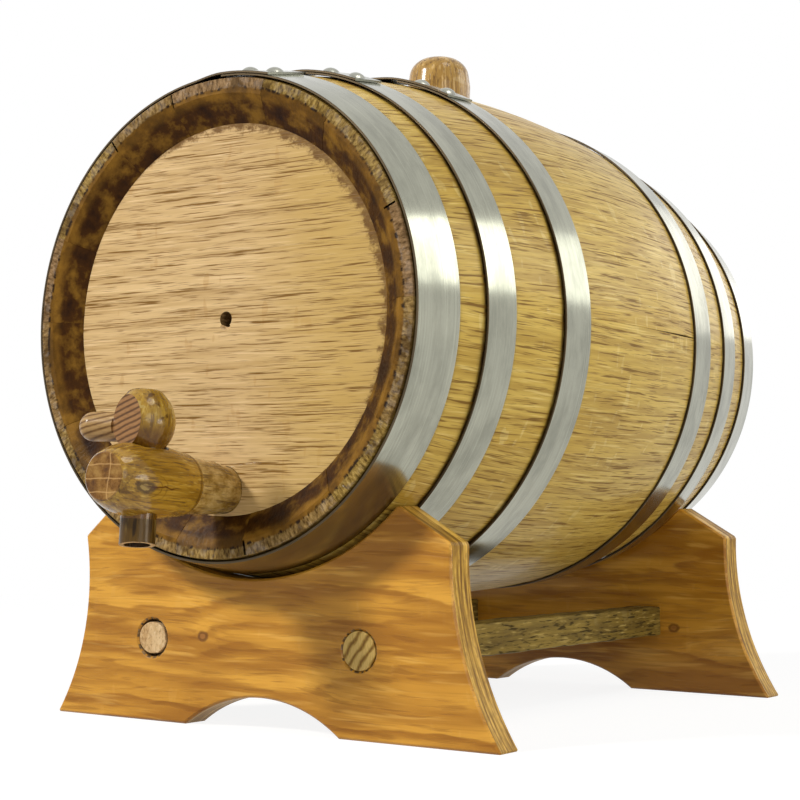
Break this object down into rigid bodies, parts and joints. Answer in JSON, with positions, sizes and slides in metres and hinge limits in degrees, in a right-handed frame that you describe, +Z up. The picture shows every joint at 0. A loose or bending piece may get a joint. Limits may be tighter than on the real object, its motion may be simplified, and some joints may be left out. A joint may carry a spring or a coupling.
{
  "type": "oak cask liquor dispenser",
  "caption": "Small coopered oak cask lying on a two-board stand, with riveted steel hoops, a top bung and a turned wooden tap in the front head.",
  "frame": {"origin": "on the table under the middle of the whole object, tap and cask together", "axes": "+Z up; the cask lies along Y, its tap towards -Y; +X is on the right when the tap faces the viewer"},
  "size_m": [0.215, 0.336, 0.2776],
  "materials": {
    "cask_oak": "clear varnished oak, honey yellow",
    "head_oak": "clear varnished oak, pinkish honey",
    "dowel_wood": "bare beech",
    "hoop_steel": "satin galvanised strip",
    "rivet_steel": "zinc plated",
    "stand_oak": "glossy varnished oak, orange",
    "stretcher_oak": "rough sawn oak, grey brown",
    "screw_steel": "zinc plated",
    "plug_oak": "varnished end and face grain",
    "bung_oak": "glossy varnished oak",
    "tap_oak": "varnished hardwood, golden brown"
  },
  "bodies": {
    "stand": {"cradle_front": "stand_oak", "cradle_rear": "stand_oak", "screw_plugs": "plug_oak", "stand_screws": "screw_steel", "stretcher_left": "stretcher_oak", "stretcher_right": "stretcher_oak"},
    "cask": {"front_head_bottom": "head_oak", "front_head_dowels": "dowel_wood", "front_head_middle": "head_oak", "front_head_top": "head_oak", "hoop_bilge_front": "hoop_steel", "hoop_bilge_rear": "hoop_steel", "hoop_chime_front": "hoop_steel", "hoop_chime_rear": "hoop_steel", "hoop_quarter_front": "hoop_steel", "hoop_quarter_rear": "hoop_steel", "hoop_rivets": "rivet_steel", "rear_head_bottom": "head_oak", "rear_head_dowels": "dowel_wood", "rear_head_middle": "head_oak", "rear_head_top": "head_oak", "stave_01": "cask_oak", "stave_02": "cask_oak", "stave_03": "cask_oak", "stave_04": "cask_oak", "stave_05": "cask_oak", "stave_06": "cask_oak", "stave_07": "cask_oak", "stave_08": "cask_oak", "stave_09": "cask_oak", "stave_10": "cask_oak", "stave_11": "cask_oak", "stave_12": "cask_oak", "stave_13": "cask_oak", "stave_14": "cask_oak"},
    "bung": {"bung": "bung_oak"},
    "tap": {"tap_body": "tap_oak"},
    "key": {"key": "tap_oak", "key_peg": "tap_oak"}
  },
  "joints": [
    {"name": "cask_lift", "type": "slide", "parent": "stand", "child": "cask", "axis": [0, 0, 1], "range_m": [0, 0.06]},
    {"name": "bung_lift", "type": "slide", "parent": "cask", "child": "bung", "axis": [0, 0, 1], "range_m": [0, 0.03]},
    {"name": "tap_pull", "type": "slide", "parent": "cask", "child": "tap", "axis": [0, -0.9981, 0.061], "range_m": [0, 0.03]},
    {"name": "key_turn", "type": "hinge", "parent": "tap", "child": "key", "pos_m": [-0.0025, -0.14889, 0.09069], "axis": [0, 0.061, 0.9981], "continuous": true}
  ]
}
